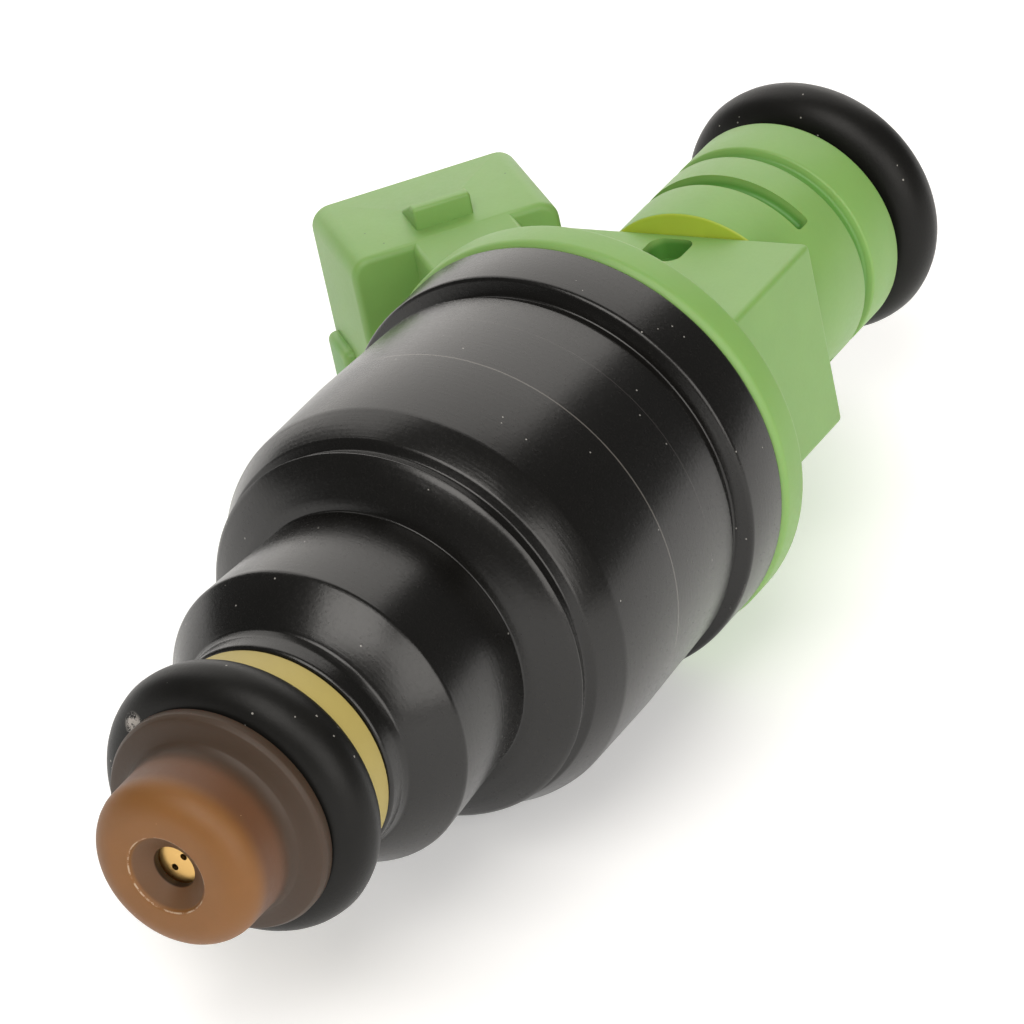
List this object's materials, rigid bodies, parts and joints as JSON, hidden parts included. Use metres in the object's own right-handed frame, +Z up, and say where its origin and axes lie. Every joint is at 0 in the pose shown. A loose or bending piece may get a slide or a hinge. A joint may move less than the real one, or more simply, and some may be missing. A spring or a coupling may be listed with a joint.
{
  "type": "fuel injector",
  "caption": "Top-feed port fuel injector with a stepped steel body, a moulded top with an angled two-blade socket, O-ring seals, and a sprung needle valve lifted by a coil.",
  "frame": {"origin": "on the surface that the injector lies on, under the middle of its bounding box", "axes": "+X along the injector's axis from the spray tip to the fuel inlet, +Z up, with the connector towards +Y and a little down"},
  "size_m": [0.0706, 0.0316, 0.0236],
  "materials": {
    "black_steel": "satin black coating over steel",
    "bright_steel": "turned and ground stainless steel",
    "spring_steel": "drawn spring wire",
    "mesh_steel": "fine woven mesh",
    "brass": "plain brass",
    "tinned_brass": "tin plated brass",
    "copper": "enamelled copper wire",
    "green_nylon": "satin moulded glass-filled nylon, slightly translucent",
    "brown_nylon": "satin moulded nylon, slightly translucent",
    "yellow_nylon": "matte moulded nylon",
    "pale_nylon": "natural moulded nylon",
    "black_rubber": "oiled fluorocarbon rubber"
  },
  "bodies": {
    "injector_body": {"valve_housing": "black_steel", "valve_body": "bright_steel", "orifice_plate": "brass", "nozzle_cap": "brown_nylon", "lower_o_ring": "black_rubber", "spacer_washer": "yellow_nylon", "valve_body_seal": "black_rubber", "lift_stop_plate": "bright_steel", "return_spring": "spring_steel", "adjusting_sleeve": "bright_steel", "inlet_core": "bright_steel", "upper_o_ring": "black_rubber", "filter_collar": "brass", "filter_frame": "pale_nylon", "filter_mesh": "mesh_steel", "coil_bobbin": "pale_nylon", "coil_winding": "copper", "coil_lead_left": "copper", "coil_lead_right": "copper", "coil_seal_lower": "black_rubber", "coil_seal_upper": "black_rubber", "cover_plate": "bright_steel", "terminal_left": "tinned_brass", "terminal_right": "tinned_brass", "connector_moulding": "green_nylon"},
    "needle": {"valve_needle": "bright_steel", "armature": "bright_steel"}
  },
  "joints": [
    {"name": "needle_lift", "type": "slide", "parent": "injector_body", "child": "needle", "axis": [1, 0, 0], "range_m": [0, 0.0001], "stiffness_N_per_m": 100, "springref_m": -0.005, "deforming": ["return_spring"]}
  ]
}
